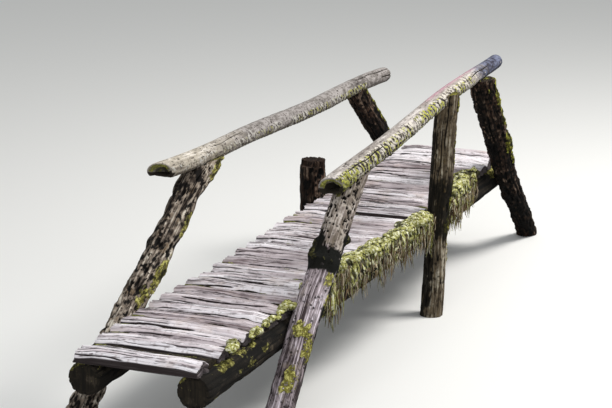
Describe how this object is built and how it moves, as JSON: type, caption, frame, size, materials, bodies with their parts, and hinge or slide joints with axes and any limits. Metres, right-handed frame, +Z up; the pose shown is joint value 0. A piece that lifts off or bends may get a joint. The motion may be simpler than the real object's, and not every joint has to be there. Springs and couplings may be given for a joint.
{
  "type": "rustic log footbridge",
  "caption": "Weathered log footbridge with a split-log deck on two stringers, two round hand rails on leaning log posts and one broken post stump.",
  "frame": {"origin": "centre of the bounding box at the water line, where the posts stand", "axes": "+X along the walk from the near end to the far end, +Y to the left across the deck, +Z up"},
  "size_m": [7.5214, 1.4559, 1.899],
  "materials": {
    "deck_wood": "weathered pinkish grey split wood with deep cracks",
    "stringer_wood": "dark damp round wood with thick moss on the outer side",
    "rail_wood": "peeled log, pale and weathered, moss along the lower flank",
    "post_wood": "dark furrowed log with holes, rot and moss"
  },
  "bodies": {
    "root": {"deck_log_01": "deck_wood", "deck_log_02": "deck_wood", "deck_log_03": "deck_wood", "deck_log_04": "deck_wood", "deck_log_05": "deck_wood", "deck_log_06": "deck_wood", "deck_log_07": "deck_wood", "deck_log_08": "deck_wood", "deck_log_09": "deck_wood", "deck_log_10": "deck_wood", "deck_log_11": "deck_wood", "deck_log_12": "deck_wood", "deck_log_13": "deck_wood", "deck_log_14": "deck_wood", "deck_log_15": "deck_wood", "deck_log_16": "deck_wood", "deck_log_17": "deck_wood", "deck_log_18": "deck_wood", "deck_log_19": "deck_wood", "deck_log_20": "deck_wood", "deck_log_21": "deck_wood", "deck_log_22": "deck_wood", "deck_log_23": "deck_wood", "deck_log_24": "deck_wood", "deck_log_25": "deck_wood", "deck_log_26": "deck_wood", "deck_log_27": "deck_wood", "deck_log_28": "deck_wood", "deck_log_29": "deck_wood", "deck_log_30": "deck_wood", "stringer_right": "stringer_wood", "stringer_left": "stringer_wood", "rail_right": "rail_wood", "rail_left": "rail_wood", "post_right_near": "post_wood", "post_right_middle": "post_wood", "post_right_far": "post_wood", "post_left_near": "post_wood", "post_left_middle": "post_wood", "post_left_far": "post_wood"}
  },
  "joints": []
}
